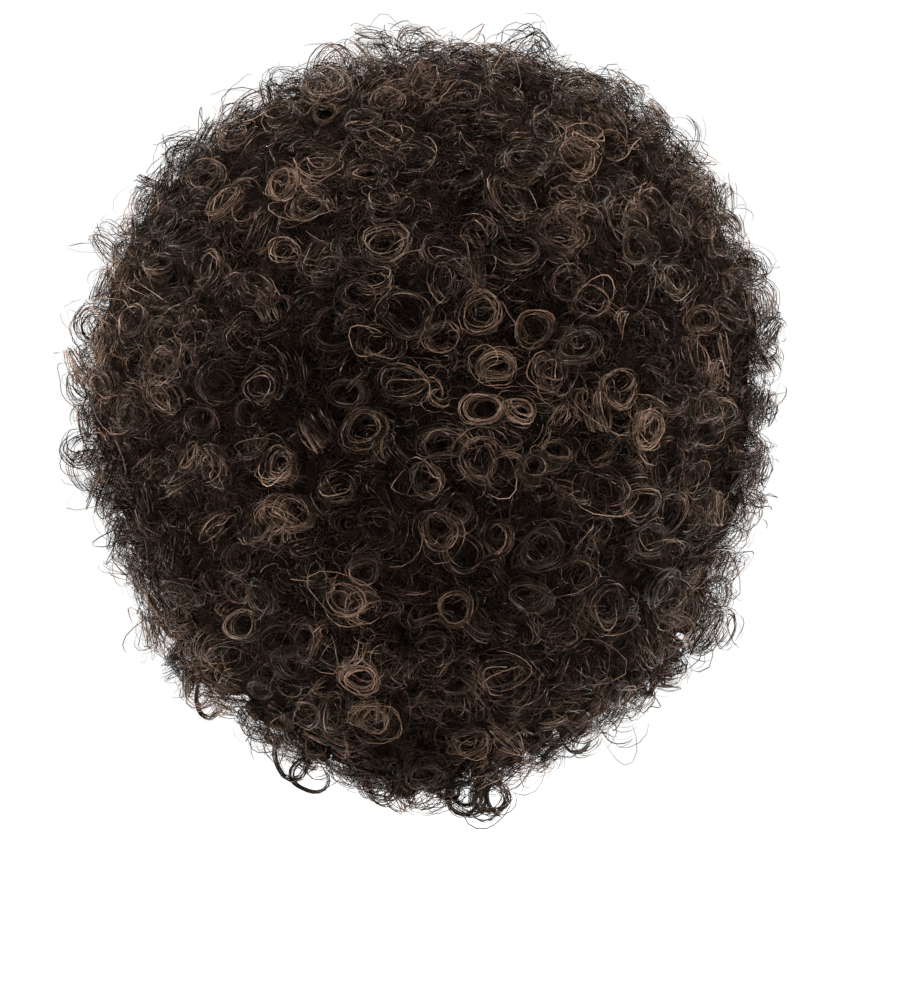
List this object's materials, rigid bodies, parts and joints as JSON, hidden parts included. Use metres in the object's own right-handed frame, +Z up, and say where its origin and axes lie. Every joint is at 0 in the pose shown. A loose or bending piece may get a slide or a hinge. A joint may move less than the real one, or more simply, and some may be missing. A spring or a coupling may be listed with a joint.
{
  "type": "afro wig",
  "caption": "Round afro wig of tight ring curls in dark brown fibre, sewn in panels on a stretch cap that fits an adult head.",
  "frame": {"origin": "inside of the cap's crown, where the top of the head bears", "axes": "+Z up along the head, -Y towards the face, +X towards the wearer's left"},
  "size_m": [0.4293, 0.399, 0.4517],
  "materials": {
    "curled_fibre": "soft sheen",
    "cap_net": "matt"
  },
  "bodies": {
    "root": {"cap": "cap_net", "crown_curls": "curled_fibre", "fringe_curls": "curled_fibre", "left_side_curls": "curled_fibre", "right_side_curls": "curled_fibre", "back_curls": "curled_fibre", "nape_curls": "curled_fibre"}
  },
  "joints": []
}
